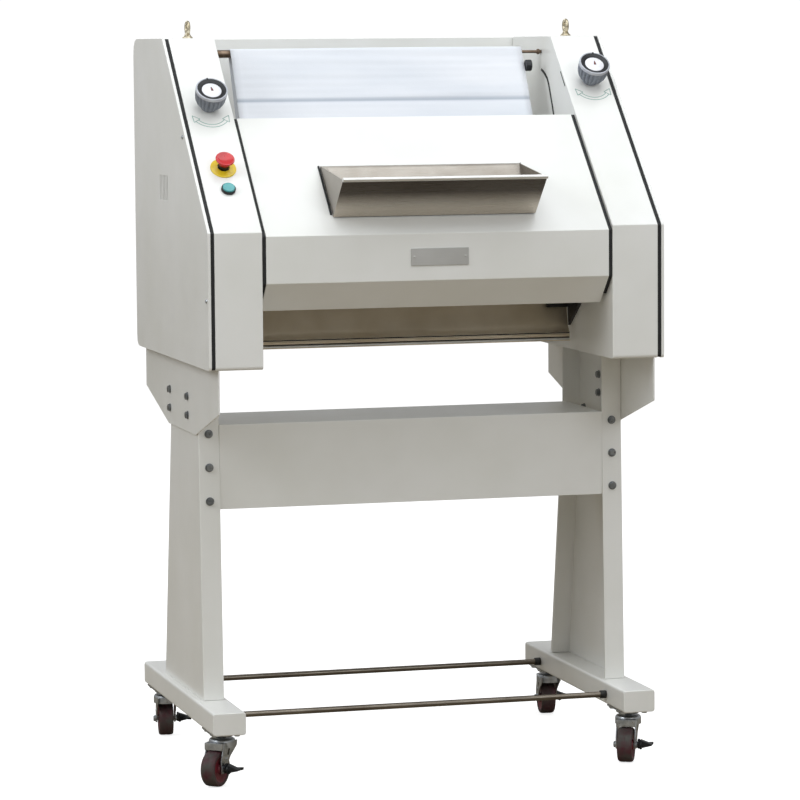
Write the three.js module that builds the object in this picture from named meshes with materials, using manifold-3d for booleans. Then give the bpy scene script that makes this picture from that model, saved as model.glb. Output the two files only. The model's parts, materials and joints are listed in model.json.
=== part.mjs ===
// A dough sheeter and moulder on a wheeled stand. Millimetres, +Z up, +X to the right, front towards -Y.
// The origin is on the floor, under the middle of the machine.
import * as THREE from "three";
import { mergeVertices } from "three/addons/utils/BufferGeometryUtils.js";
import Module from "manifold-3d";

const wasm = await Module();
wasm.setup();

// ---------- driving dimensions ----------
const GAP = 0.3; // between pieces that rest on each other
const SHEET = 3; // housing sheet
const THIN = 2; // stainless and cover sheet

// Side housings, in profile: upright front, slanted control panel, flat top.
const FRONT = -343;
const REAR = 385;
const BELLY = 874;
const KNEE = 1155;
const TOP = 1550;
const TOP_EDGE = 79; // where the slant meets the flat top
const HALF_WIDTH = 490;
const COVER_INNER = 484;
const SEAL_INNER = 476.3;
const WALL_OUTER = 476;
const WALL_INNER = 376;
const SLANT = Math.atan2(TOP - KNEE, TOP_EDGE - FRONT);

// Hood between the housings, in profile from its top edge to its lower edge.
const HOOD = [[-90, 1382], [-343, 1146], [-343, 1049], [-285, 990]];
const HOOD_HALF = 368;
const HOOD_SLOPE = Math.atan2(HOOD[0][1] - HOOD[1][1], HOOD[0][0] - HOOD[1][0]);
const HINGE = [-90.6, 1365];
const HINGE_R = 6;

// Stand.
const FOOT_BOTTOM = 114;
const FOOT_TOP = 161.6;
const FOOT_FRONT = -305;
const FOOT_REAR = 397;
const FOOT_INNER = 412;
const FOOT_OUTER = 482;
const LEG_INNER = 423;
const LEG_OUTER = 467;
const BEAM_TOP = 743;
const BEAM_BOTTOM = 564;

// Casters.
const WHEEL_R = 37.5;
const WHEEL_WIDTH = 32;
const TRAIL = 30;

// Rollers, felt belt and board inside, as [y, z] of each axis.
const SHAFT_R = 10;
const SHEETING_R = 40;
const SHEETING_LOWER = [-220, 1131];
const SHEETING_UPPER = [-158, 1189];
const BELT_BOTTOM = [-116.6, 1009.6];
const BELT_BOTTOM_R = 25;
const BELT_TOP = [145, 1516];
const BELT_TOP_R = 8.5;
const BELT_TOP_PIN_R = 3.3; // its right-hand end
const BELT_HALF = 328;
const BELT_THICK = 2.7;
const MOTOR_AXIS = [251, 960];

// ---------- materials ----------
const finish = (color, roughness, metalness) => new THREE.MeshStandardMaterial({ color, roughness, metalness });
const white = finish(0xefefec, 0.35, 0);
const stainless = finish(0x8f8a83, 0.3, 1);
const zinc = finish(0xb9bcbf, 0.35, 1);
const rubber = finish(0x1b1b1c, 0.7, 0);
const black = finish(0x141414, 0.5, 0);
const felt = finish(0xe6e9f0, 0.95, 0);
const grey = finish(0x8b9096, 0.45, 0.2);
const red = finish(0xd0141a, 0.35, 0);
const yellow = finish(0xe7c51d, 0.4, 0);
const green = finish(0x1f8a78, 0.4, 0);
const maroon = finish(0x5a1420, 0.5, 0);
const nylon = finish(0xf2f0ea, 0.5, 0);
const brass = finish(0xb59a4a, 0.35, 0.9);
const motorBlue = finish(0x6f7c86, 0.5, 0.3);

// ---------- helpers ----------
const machine = new THREE.Group();

// A closed three.js geometry as a manifold-3d solid, and back.
function solid(geometry) {
  const plain = geometry.index ? geometry.toNonIndexed() : geometry.clone();
  const bare = new THREE.BufferGeometry().setAttribute("position", plain.getAttribute("position"));
  const merged = mergeVertices(bare, 1e-3);
  const triVerts = new Uint32Array(merged.index.array);
  return new wasm.Manifold(new wasm.Mesh({ numProp: 3, vertProperties: merged.attributes.position.array, triVerts }));
}
function toGeometry(body) {
  const mesh = body.getMesh();
  const geometry = new THREE.BufferGeometry();
  geometry.setAttribute("position", new THREE.BufferAttribute(new Float32Array(mesh.vertProperties), 3));
  geometry.setIndex(new THREE.BufferAttribute(new Uint32Array(mesh.triVerts), 1));
  return geometry;
}
function add(name, material, body, parent = machine) {
  const geometry = body.isBufferGeometry ? body : toGeometry(body);
  const mesh = new THREE.Mesh(geometry, material);
  mesh.name = name;
  parent.add(mesh);
  return mesh;
}
const joined = (...bodies) => bodies.reduce((all, next) => all.add(next));
const cut = (body, ...tools) => tools.reduce((left, tool) => left.subtract(tool), body);

// An outline whose corners are [u, v] or [u, v, radius].
function outline(corners) {
  const shape = new THREE.Shape();
  const count = corners.length;
  corners.forEach(([u, v, radius = 0], i) => {
    const here = new THREE.Vector2(u, v);
    const before = new THREE.Vector2(...corners[(i + count - 1) % count]);
    const after = new THREE.Vector2(...corners[(i + 1) % count]);
    const start = here.clone().add(before.sub(here).setLength(radius || 1e-9));
    const end = here.clone().add(after.sub(here).setLength(radius || 1e-9));
    if (i === 0) shape.moveTo(radius ? start.x : u, radius ? start.y : v);
    else shape.lineTo(radius ? start.x : u, radius ? start.y : v);
    if (radius) shape.quadraticCurveTo(u, v, end.x, end.y);
  });
  shape.closePath();
  return shape;
}
function extrude(shape, length, curveSegments = 4) {
  return new THREE.ExtrudeGeometry(shape, { depth: length, bevelEnabled: false, curveSegments });
}
// A [y, z] outline run along X, an [x, z] outline run along Y, and an [x, y] outline run along Z.
function prismX(corners, x0, x1, curveSegments) {
  const basis = new THREE.Matrix4().makeBasis(
    new THREE.Vector3(0, 1, 0), new THREE.Vector3(0, 0, 1), new THREE.Vector3(1, 0, 0));
  const shape = corners instanceof THREE.Shape ? corners : outline(corners);
  const geometry = extrude(shape, Math.abs(x1 - x0), curveSegments).applyMatrix4(basis);
  return solid(geometry.translate(Math.min(x0, x1), 0, 0));
}
function prismY(corners, y0, y1, curveSegments) {
  const geometry = extrude(outline(corners), y1 - y0, curveSegments).rotateX(Math.PI / 2);
  return solid(geometry.translate(0, y1, 0));
}
function prismZ(corners, z0, z1, curveSegments) {
  return solid(extrude(outline(corners), z1 - z0, curveSegments).translate(0, 0, z0));
}
function box(x0, x1, y0, y1, z0, z1) {
  const geometry = new THREE.BoxGeometry(Math.abs(x1 - x0), y1 - y0, z1 - z0);
  return solid(geometry.translate((x0 + x1) / 2, (y0 + y1) / 2, (z0 + z1) / 2));
}
// A round bar along X, Y or Z.
function barX(x0, x1, [y, z], radius, sides = 20) {
  const geometry = new THREE.CylinderGeometry(radius, radius, Math.abs(x1 - x0), sides);
  return solid(geometry.rotateZ(Math.PI / 2).translate((x0 + x1) / 2, y, z));
}
function barY(y0, y1, [x, z], radius, sides = 20) {
  const geometry = new THREE.CylinderGeometry(radius, radius, y1 - y0, sides);
  return solid(geometry.translate(x, (y0 + y1) / 2, z));
}
function barZ(z0, z1, [x, y], radius, sides = 20) {
  const geometry = new THREE.CylinderGeometry(radius, radius, z1 - z0, sides);
  return solid(geometry.rotateX(Math.PI / 2).translate(x, y, (z0 + z1) / 2));
}
// A turned piece: a profile of [radius, height] about Z.
function turned(profile, sides = 24) {
  const points = profile.map(([r, z]) => new THREE.Vector2(r, z));
  return solid(new THREE.LatheGeometry(points, sides).rotateX(Math.PI / 2));
}
const rect = (u0, u1, v0, v1, radius = 0) => [[u0, v0, radius], [u1, v0, radius], [u1, v1, radius], [u0, v1, radius]];

// The same line moved sideways, to its left for a positive distance.
function offsetLine(points, distance) {
  return points.map((p, i) => {
    const into = points[Math.max(i, 1)].map((v, k) => v - points[Math.max(i, 1) - 1][k]);
    const last = Math.min(i, points.length - 2);
    const out = points[last + 1].map((v, k) => v - points[last][k]);
    const unit = ([a, b]) => [a / Math.hypot(a, b), b / Math.hypot(a, b)];
    const [a, b] = unit(into);
    const [c, d] = unit(out);
    const scale = distance / (1 + a * c + b * d);
    return [p[0] - (b + d) * scale, p[1] + (a + c) * scale];
  });
}
// A sheet that follows a line of [y, z] points, from one offset of the line to another.
function strip(points, from, to) {
  return [...offsetLine(points, from), ...offsetLine(points, to).reverse()];
}
// The line with both its ends drawn in.
function shortened(points, first, last) {
  const toward = (p, q, d) => {
    const length = Math.hypot(q[0] - p[0], q[1] - p[1]);
    return [p[0] + ((q[0] - p[0]) * d) / length, p[1] + ((q[1] - p[1]) * d) / length];
  };
  const count = points.length;
  const middle = points.slice(1, count - 1);
  return [toward(points[0], points[1], first), ...middle, toward(points[count - 1], points[count - 2], last)];
}
// A loop around two circles, as a shape.
function loop([y0, z0], [y1, z1], r0, r1 = r0) {
  const angle = Math.atan2(z1 - z0, y1 - y0);
  const lean = Math.acos((r0 - r1) / Math.hypot(y1 - y0, z1 - z0));
  const shape = new THREE.Shape();
  shape.absarc(y0, z0, r0, angle + lean, angle + 2 * Math.PI - lean, false);
  shape.absarc(y1, z1, r1, angle - lean, angle + lean, false);
  shape.closePath();
  return shape;
}
// A point at a distance up the slanted panel from its knee, and a group that stands square on the panel there.
function onPanel(x, distance) {
  const group = new THREE.Group();
  group.position.set(x, FRONT + distance * Math.cos(SLANT), KNEE + distance * Math.sin(SLANT));
  group.rotation.x = SLANT;
  machine.add(group);
  return group;
}

// ---------- stand ----------
const SIDES = [["left", -1], ["right", 1]];
const LEG_WAIST = 720; // where the upright part of a leg ends and its taper starts
const LEG_SHEET = 4;
const legOutline = (inset, bottom, top) => [
  [-149 + inset, bottom], [236 - inset, bottom], [146 - inset, LEG_WAIST], [146 - inset, top],
  [-129 + inset, top], [-129 + inset, LEG_WAIST],
];
const SHOULDER = [[-339, BELLY - GAP], [-339, 784], [-116, 721], [152, 721], [386, 784], [386, BELLY - GAP]];
const BEAM_FRONT = -131;
const BEAM_REAR = 119;
const DRAIN_R = 8; // hole in the underside of each foot
const CASTER_X = 447;
for (const [name, s] of SIDES) {
  const foot = cut(
    prismY(rect(s * FOOT_INNER, s * FOOT_OUTER, FOOT_BOTTOM, FOOT_TOP, 6), FOOT_FRONT, FOOT_REAR, 3),
    box(s * (FOOT_INNER + SHEET), s * (FOOT_OUTER - SHEET), FOOT_FRONT + SHEET, FOOT_REAR - SHEET,
      FOOT_BOTTOM + SHEET, FOOT_TOP - SHEET),
    barZ(FOOT_BOTTOM - 1, FOOT_BOTTOM + SHEET + 1, [s * CASTER_X, (FOOT_FRONT + FOOT_REAR) / 2], DRAIN_R, 12),
  );
  add(`foot_${name}`, white, foot);
  const leg = cut(
    prismX(legOutline(0, FOOT_TOP + GAP, BELLY - GAP), s * LEG_INNER, s * LEG_OUTER),
    prismX(legOutline(LEG_SHEET, FOOT_BOTTOM, BELLY + LEG_SHEET), s * (LEG_INNER - 1), s * (LEG_OUTER - LEG_SHEET)),
  );
  add(`leg_${name}`, white, leg);
  add(`shoulder_plate_${name}`, white, prismX(SHOULDER, s * (LEG_OUTER + GAP), s * (LEG_OUTER + SHEET + GAP)));
}
const beamHalf = LEG_INNER - GAP;
add("cross_beam", white, cut(
  box(-beamHalf, beamHalf, BEAM_FRONT, BEAM_REAR, BEAM_BOTTOM, BEAM_TOP),
  box(-beamHalf - 1, beamHalf + 1, BEAM_FRONT + SHEET, BEAM_REAR - SHEET, BEAM_BOTTOM - 1, BEAM_TOP - SHEET),
));
const TIE_ROD_R = 6.3;
for (const [name, y, z] of [["front", -187, 136], ["rear", 280, 134]])
  add(`tie_rod_${name}`, stainless, barX(GAP - FOOT_INNER, FOOT_INNER - GAP, [y, z], TIE_ROD_R, 16));

// ---------- casters ----------
// Each stands on its own swivel axis. Local +X is the way it trails, and the brake is on the side given.
function caster(name, x, y, heading, brakeSide) {
  const group = new THREE.Group();
  group.position.set(x, y, 0);
  group.rotation.z = THREE.MathUtils.degToRad(heading);
  machine.add(group);
  const top = FOOT_BOTTOM - GAP;
  const plate = new THREE.Group();
  plate.position.set(x, y, 0);
  machine.add(plate);
  add(`${name}_plate`, zinc, joined(
    prismZ(rect(-33, 33, -46, 46, 8), top - 3, top, 2),
    barZ(101, top - 3, [0, 0], 26, 16),
    barZ(88, 101, [0, 0], 6, 8),
  ), plate);
  const cheek = [[-22, 92], [26, 92], [40, 52, 6], [38, 29, 5], [22, 29, 5], [10, 60, 6]];
  const half = WHEEL_WIDTH / 2 + 3;
  const fork = cut(
    joined(
      prismY(cheek, half, half + 2.5, 2),
      prismY(cheek, -half - 2.5, -half, 2),
      barZ(92, 97, [0, 0], 28, 16),
      box(-10, 26, -half - 2.5, half + 2.5, 89, 92.5),
    ),
    barZ(80, 120, [0, 0], 7, 8),
  );
  const axle = barY(-half - (brakeSide < 0 ? 12 : 6), half + (brakeSide > 0 ? 12 : 6), [TRAIL, WHEEL_R], 4, 10);
  add(`${name}_fork`, zinc, joined(fork, axle), group);
  const r = WHEEL_R;
  const w = WHEEL_WIDTH / 2;
  const profile = [[4.3, -w], [r - 3, -w], [r, -w + 4], [r, w - 4], [r - 3, w], [4.3, w], [4.3, -w]];
  const wheel = toGeometry(turned(profile, 20)).rotateX(Math.PI / 2).translate(TRAIL, 0, WHEEL_R);
  add(`${name}_wheel`, maroon, wheel, group);
  const arm = prismY([[22, 30, 3], [38, 30, 3], [44, 44, 3], [30, 52, 4], [19, 46, 3]], half + 6.3, half + 10.5, 2);
  const pedal = prismZ([[22, half + 9], [42, half + 9], [18, 56.2, 4], [6, 56.2, 4]], 36, 41, 2);
  let brake = cut(joined(arm, pedal), barY(0, 60, [TRAIL, WHEEL_R], 4.5, 12));
  if (brakeSide < 0) brake = brake.mirror([0, 1, 0]);
  add(`${name}_brake`, black, brake, group);
}
const CASTER_FRONT = -231;
const CASTER_REAR = 328;
caster("caster_front_left", -CASTER_X, CASTER_FRONT, -132, 1);
caster("caster_front_right", CASTER_X, CASTER_FRONT, -117, 1);
caster("caster_rear_left", -CASTER_X, CASTER_REAR, 82, -1);
caster("caster_rear_right", CASTER_X, CASTER_REAR, 84, -1);

// ---------- side housings ----------
// The housing's outline, drawn in by an equal distance all round.
function housingOutline(d) {
  const atTop = d * Math.tan(SLANT / 2);
  const atKnee = d * Math.tan((Math.PI / 2 - SLANT) / 2);
  const radius = (r) => Math.max(r - d, 0);
  return [[FRONT + d, BELLY + d, radius(8)], [REAR - d, BELLY + d, radius(25)], [REAR - d, TOP - d, radius(38)],
    [TOP_EDGE + atTop, TOP - d], [FRONT + d, KNEE - atKnee]];
}
// The upper sheeting roller slides between these two places, and its shaft needs a slot.
const upSlope = ([y, z], d) => [y + d * Math.cos(HOOD_SLOPE), z + d * Math.sin(HOOD_SLOPE)];
const upperSlot = (radius) => loop(upSlope(SHEETING_UPPER, -4), upSlope(SHEETING_UPPER, 12), radius);
// Holes for the shafts through a wall, each wider than its shaft by the clearance.
const shaftHoles = (x0, x1, clearance) => [
  barX(x0, x1, SHEETING_LOWER, SHAFT_R + clearance, 12),
  prismX(upperSlot(SHAFT_R + clearance), x0, x1, 5),
  barX(x0, x1, BELT_TOP, (x0 < 0 ? BELT_TOP_R : BELT_TOP_PIN_R) + clearance, 12),
  barX(x0, x1, BELT_BOTTOM, SHAFT_R + clearance, 12),
  barX(x0, x1, HINGE, HINGE_R + 0.5, 12),
];
const KNOB_STEM_R = 5;
const ESTOP_STEM_R = 10.8;
const START_STEM_R = 9.9;
const MOTOR_HOLE_R = 14;
const KNOB = { left: [-425, 367], right: [432, 435.5] };
const ESTOP = [-425, 185];
const START = [-425, 123];
function panelHole([x, distance], radius) {
  const y = FRONT + distance * Math.cos(SLANT);
  const z = KNEE + distance * Math.sin(SLANT);
  const geometry = new THREE.CylinderGeometry(radius, radius, 20, 16).rotateX(Math.PI / 2).rotateX(SLANT);
  return solid(geometry.translate(x, y, z));
}
const LOUVRES = Array.from({ length: 6 }, (_, i) => 38 + i * 15);
for (const [name, s] of SIDES) {
  const shell = cut(
    prismX(housingOutline(0), s * WALL_INNER, s * WALL_OUTER, 3),
    prismX(housingOutline(SHEET), s * (WALL_INNER + SHEET), s * (WALL_OUTER + 1), 3),
    ...shaftHoles(s * (WALL_INNER - 1), s * (WALL_INNER + SHEET + 1), 2),
    panelHole(KNOB[name], KNOB_STEM_R + 1.5),
    ...(s < 0
      ? [panelHole(ESTOP, ESTOP_STEM_R + 1.2), panelHole(START, START_STEM_R + 1.1)]
      : [barX(WALL_INNER - 1, WALL_INNER + SHEET + 1, MOTOR_AXIS, MOTOR_HOLE_R, 12)]),
  );
  add(`housing_${name}`, white, shell);
  const inner = WALL_INNER + SHEET + GAP;
  const frame = cut(
    prismX(housingOutline(40), s * inner, s * (inner + 8)),
    ...shaftHoles(s * (inner - 1), s * (inner + 9), 0.5),
    ...(s > 0 ? [barX(inner - 1, inner + 9, MOTOR_AXIS, MOTOR_HOLE_R, 12)] : []),
  );
  add(`side_frame_${name}`, grey, frame);
  add(`side_seal_${name}`, rubber, cut(
    prismX(housingOutline(1.5), s * SEAL_INNER, s * (COVER_INNER - GAP), 3),
    prismX(housingOutline(8), s * (SEAL_INNER - 1), s * (COVER_INNER + 1), 3),
  ));
  const louvres = LOUVRES.map((y) => box(s * (COVER_INNER - 1), s * (HALF_WIDTH + 1), y, y + 6, 1207, 1260));
  add(`side_cover_${name}`, white, cut(
    prismX(housingOutline(0), s * COVER_INNER, s * HALF_WIDTH, 3),
    prismX(housingOutline(THIN), s * (COVER_INNER - 1), s * (HALF_WIDTH - THIN), 3),
    ...louvres,
  ));
}

// ---------- rear cover, hood and its seals ----------
const panelHalf = WALL_INNER - GAP;
const PANEL = REAR - 30;
const PANEL_BOTTOM = 905;
const PANEL_TOP = TOP - 2;
add("rear_cover", white, joined(
  box(-panelHalf, panelHalf, PANEL, PANEL + THIN, PANEL_BOTTOM, PANEL_TOP),
  box(-panelHalf, panelHalf, PANEL, REAR - 4, PANEL_TOP - THIN, PANEL_TOP),
  box(-panelHalf, panelHalf, PANEL, REAR - 4, PANEL_BOTTOM, PANEL_BOTTOM + THIN),
));
// Hopper mouth, as distances up the slope from the hood's knee.
const MOUTH = [49, 197];
const onHood = (distance, height) => [
  HOOD[1][0] + distance * Math.cos(HOOD_SLOPE) - height * Math.sin(HOOD_SLOPE),
  HOOD[1][1] + distance * Math.sin(HOOD_SLOPE) + height * Math.cos(HOOD_SLOPE),
];
const slopeBlock = (d0, d1, h0, h1) => [onHood(d0, h0), onHood(d1, h0), onHood(d1, h1), onHood(d0, h1)];
const THROAT = [MOUTH[0] + 14, MOUTH[1] - 14];
const THROAT_HALF = 200;
add("hood", white, cut(
  prismX(strip(HOOD, 0, 30), -HOOD_HALF, HOOD_HALF),
  prismX(strip(shortened(HOOD, THIN, THIN), THIN, 34), THIN - HOOD_HALF, HOOD_HALF - THIN),
  prismX(slopeBlock(THROAT[0] - 3, THROAT[1] + 3, -40, 20), -THROAT_HALF - 3, THROAT_HALF + 3),
  barX(-HOOD_HALF - 1, HOOD_HALF + 1, HINGE, HINGE_R + 0.5, 12),
));
add("hood_hinge_rod", stainless, barX(-386, 386, HINGE, HINGE_R, 12));
const sealLine = shortened(HOOD, 0, 26);
for (const [name, s] of SIDES)
  add(`hood_seal_${name}`, rubber, prismX(strip(sealLine, 1, 5), s * (HOOD_HALF + GAP), s * (WALL_INNER - GAP)));

// ---------- hopper ----------
const HOPPER_HALF = 218;
const LIP = [-393, 1260];
const floorHeight = 3 + GAP;
const foot0 = onHood(MOUTH[0], floorHeight);
const heel = onHood(MOUTH[1], floorHeight);
const trayInner = [onHood(MOUTH[0] + 4, floorHeight + THIN), onHood(MOUTH[1] + 30, floorHeight + THIN), [-250, 1400],
  [LIP[0] - 40, 1400], [LIP[0] + 1.5, LIP[1] + 1.5]];
const throatOuter = slopeBlock(THROAT[0], THROAT[1], -42, floorHeight + 1);
const throatInner = slopeBlock(THROAT[0] + THIN, THROAT[1] - THIN, -60, floorHeight + THIN + 1);
add("hopper", stainless, cut(
  joined(
    cut(prismX([foot0, heel, LIP], -HOPPER_HALF, HOPPER_HALF),
      prismX(trayInner, THIN - HOPPER_HALF, HOPPER_HALF - THIN)),
    prismX(throatOuter, -THROAT_HALF, THROAT_HALF),
    barX(-HOPPER_HALF, HOPPER_HALF, LIP, 4, 12),
  ),
  prismX(throatInner, THIN - THROAT_HALF, THROAT_HALF - THIN),
));

// ---------- discharge ----------
const DISCHARGE = [[-70, 893], [-63, 893], [-63, 911], [-50, 926], [-38, 1000]];
add("discharge_plate", stainless, prismX(strip(DISCHARGE, 0, THIN), -372, 372));
add("plate_bracket", black, joined(
  prismX([[-137, 978], [-54, 978], [-60, 926]], 370, 375.5),
  box(322, 371, -62, -52, 966, 976),
));

// ---------- controls ----------
const knobProfile = [
  [0, -46], [KNOB_STEM_R, -46], [KNOB_STEM_R, 0.6], [14, 0.6], [16, 8], [27, 22], [31.5, 30], [31.5, 50], [29, 53],
  [0, 53],
];
for (const [name, where] of [["gap_knob", KNOB.left], ["board_knob", KNOB.right]])
  add(name, grey, turned(knobProfile, 20), onPanel(...where));
const estop = onPanel(...ESTOP);
add("estop_collar", yellow, turned([[11.5, GAP], [27, GAP], [27, 4], [22, 7], [11.5, 7], [11.5, GAP]], 20), estop);
add("estop_button", red, turned([
  [0, -18], [ESTOP_STEM_R, -18], [ESTOP_STEM_R, 14], [20, 14], [20, 21], [16, 27], [8, 30], [0, 30.5],
], 20), estop);
const start = onPanel(...START);
add("start_bezel", grey, turned([[10.3, GAP], [15, GAP], [15, 5], [13.5, 6.5], [10.3, 6.5], [10.3, GAP]], 16), start);
add("start_button", green, turned([
  [0, -12], [START_STEM_R, -12], [START_STEM_R, 8.5], [8.5, 9.5], [0, 9.5],
], 16), start);

// ---------- lifting eyes ----------
for (const [name, s] of SIDES) {
  const eye = [s * 425, 121];
  const ring = solid(new THREE.TorusGeometry(12, 4, 6, 16).rotateY(Math.PI / 2).translate(...eye, TOP + 22));
  const collar = barZ(TOP + GAP, TOP + 8, eye, 10, 16);
  add(`lifting_eye_${name}`, brass, joined(ring, collar, barZ(TOP + 5, TOP + 14, eye, 5, 12)));
}

// ---------- rollers, belt, board and drive ----------
const HANGER_INNER = 350;
const HANGER_OUTER = 362;
const BLIND_END = 360; // depth of the upper roller's bearing holes in its hangers
function roller(name, material, axis, radius, barrelHalf, shaftHalf) {
  add(name, material, joined(
    barX(-barrelHalf, barrelHalf, axis, radius, 24),
    barX(-shaftHalf, shaftHalf, axis, SHAFT_R, 12),
  ));
}
roller("sheeting_roller_lower", nylon, SHEETING_LOWER, SHEETING_R, 345, 398);
roller("sheeting_roller_upper", nylon, SHEETING_UPPER, SHEETING_R, 340, BLIND_END - GAP);
roller("belt_roller_bottom", zinc, BELT_BOTTOM, BELT_BOTTOM_R, 330, 410);
add("belt_roller_top", zinc, joined(
  barX(-392, 330, BELT_TOP, BELT_TOP_R, 20),
  barX(329, 392, BELT_TOP, BELT_TOP_PIN_R, 12),
  barX(366, 372, BELT_TOP, 6, 6),
));
const slope = [Math.cos(HOOD_SLOPE), Math.sin(HOOD_SLOPE)];
const inPath = (along, across) => [
  SHEETING_UPPER[0] + along * slope[0] - across * slope[1],
  SHEETING_UPPER[1] + along * slope[1] + across * slope[0],
];
const hanger = [inPath(-14, -14), inPath(75, -14), inPath(75, 14), inPath(-14, 14)];
const crossbar = [inPath(55, -14), inPath(75, -14), inPath(75, 14), inPath(55, 14)];
// Its guide pins run in the slots of the walls.
add("gap_carriage", grey, joined(
  cut(
    joined(
      prismX(hanger, -HANGER_OUTER, -HANGER_INNER),
      prismX(hanger, HANGER_INNER, HANGER_OUTER),
      prismX(crossbar, -HANGER_OUTER, HANGER_OUTER),
    ),
    barX(-BLIND_END, BLIND_END, SHEETING_UPPER, SHAFT_R + 0.5, 12),
  ),
  ...SIDES.map(([, s]) => barX(s * (HANGER_OUTER - 1), s * 392, SHEETING_UPPER, SHAFT_R, 12)),
));
const beltLoop = (extra) => loop(BELT_BOTTOM, BELT_TOP, BELT_BOTTOM_R + GAP + extra, BELT_TOP_R + GAP + extra);
add("felt_belt", felt, cut(
  prismX(beltLoop(BELT_THICK), -BELT_HALF, BELT_HALF, 8),
  prismX(beltLoop(0), -BELT_HALF - 1, BELT_HALF + 1, 8),
));
// The board faces the lower end of the belt: a point of it is so far down the run, and so far out in front.
const BOARD_SLOPE = Math.atan2(0.874376, 0.485248);
const byBelt = (below, out) => [
  BELT_BOTTOM[0] - below * Math.cos(BOARD_SLOPE) - out * Math.sin(BOARD_SLOPE),
  BELT_BOTTOM[1] - below * Math.sin(BOARD_SLOPE) + out * Math.cos(BOARD_SLOPE),
];
add("moulding_board", felt, prismX([byBelt(-110, 50), byBelt(10, 50), byBelt(10, 66), byBelt(-110, 66)], -340, 340));
add("motor", motorBlue, joined(
  barX(120, 372, MOTOR_AXIS, 62, 20),
  barX(95, 120.1, MOTOR_AXIS, 55, 20),
  box(150, 230, MOTOR_AXIS[0] - 40, MOTOR_AXIS[0] + 40, MOTOR_AXIS[1] + 40, MOTOR_AXIS[1] + 92),
));
const CHAIN_X = [396, 404];
const DRIVE_R = 30;
const DRIVEN_R = 50;
add("drive_sprocket", zinc, joined(
  barX(372 + GAP, CHAIN_X[1] + 4, MOTOR_AXIS, SHAFT_R, 12),
  barX(CHAIN_X[0] + 1, CHAIN_X[1] - 1, MOTOR_AXIS, DRIVE_R, 20),
));
add("driven_sprocket", zinc, cut(
  joined(barX(CHAIN_X[0] + 1, CHAIN_X[1] - 1, BELT_BOTTOM, DRIVEN_R, 24), barX(391, 409, BELT_BOTTOM, 18, 12)),
  barX(380, 420, BELT_BOTTOM, SHAFT_R + GAP, 12),
));
const chainLoop = (extra) => loop(BELT_BOTTOM, MOTOR_AXIS, DRIVEN_R + extra, DRIVE_R + extra);
add("drive_chain", grey, cut(
  prismX(chainLoop(6), CHAIN_X[0], CHAIN_X[1], 10),
  prismX(chainLoop(0.6), CHAIN_X[0] - 1, CHAIN_X[1] + 1, 10),
));

export default machine;
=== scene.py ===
# %% [markdown]
# A dough moulder for a bakery, on a wheeled stand. The machined frame of it is already packed, and
# this lesson builds the looks around that frame. Everything is in metres, +X to the right and -Y to
# the front, so a piece is made right where it belongs and never has to be fitted afterwards.

# %% Load the frame
import json
import math

import bmesh
import bpy
from mathutils import Matrix, Vector, noise


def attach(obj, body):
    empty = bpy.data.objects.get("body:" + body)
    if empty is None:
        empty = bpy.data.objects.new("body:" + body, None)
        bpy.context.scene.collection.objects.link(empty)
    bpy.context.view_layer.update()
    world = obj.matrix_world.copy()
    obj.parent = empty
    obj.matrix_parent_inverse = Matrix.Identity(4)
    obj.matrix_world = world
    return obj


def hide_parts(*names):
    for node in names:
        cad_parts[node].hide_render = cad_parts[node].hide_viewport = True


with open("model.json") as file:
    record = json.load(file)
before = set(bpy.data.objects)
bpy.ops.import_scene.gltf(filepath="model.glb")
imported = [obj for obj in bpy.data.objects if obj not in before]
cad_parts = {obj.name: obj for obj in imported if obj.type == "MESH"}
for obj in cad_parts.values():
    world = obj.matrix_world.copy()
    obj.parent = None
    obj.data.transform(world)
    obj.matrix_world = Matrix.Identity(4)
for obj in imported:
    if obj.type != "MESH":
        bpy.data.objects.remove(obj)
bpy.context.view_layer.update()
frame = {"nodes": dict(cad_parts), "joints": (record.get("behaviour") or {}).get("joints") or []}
MM = 0.001
SIDES = (("left", -1), ("right", 1))
CASTERS = ("front_left", "front_right", "rear_left", "rear_right")

# %% [markdown]
# The camera stands far off with a long lens, a little to the left and above the hood, so that the side,
# the slope and the stand all show. It could be aimed with a Track To constraint, but three angles
# written as axes are shorter, and they also hold the camera's slight roll.

# %% Camera
YAW, PITCH, ROLL = 0.2704, 0.0945, -0.0073
forward = Vector((math.sin(YAW) * math.cos(PITCH), math.cos(YAW) * math.cos(PITCH), -math.sin(PITCH)))
level = Vector((math.cos(YAW), -math.sin(YAW), 0))
right = math.cos(ROLL) * level + math.sin(ROLL) * level.cross(forward)
upward = math.cos(ROLL) * level.cross(forward) - math.sin(ROLL) * level
lens = bpy.data.cameras.new("camera")
lens.sensor_width = 36
lens.lens = 169.096
camera = bpy.data.objects.new("camera", lens)
bpy.context.scene.collection.objects.link(camera)
axes = Matrix((right, upward, -forward)).transposed().to_4x4()
camera.matrix_world = Matrix.Translation((-2.1505, -7.7855, 1.5351)) @ axes
bpy.context.scene.camera = camera
print("camera looks along", tuple(round(v, 3) for v in forward))

# %% [markdown]
# White paint shows its shape only through soft light: a bright sheet overhead makes the slanted
# panels nearly white, and weaker ones at the front, left and back leave the upright faces a step
# darker. All are slightly cool, because the floor sends warm light up. Area lights do this with far
# less noise than many small lamps. The world is white for the eye and dimmer as a light.

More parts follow.
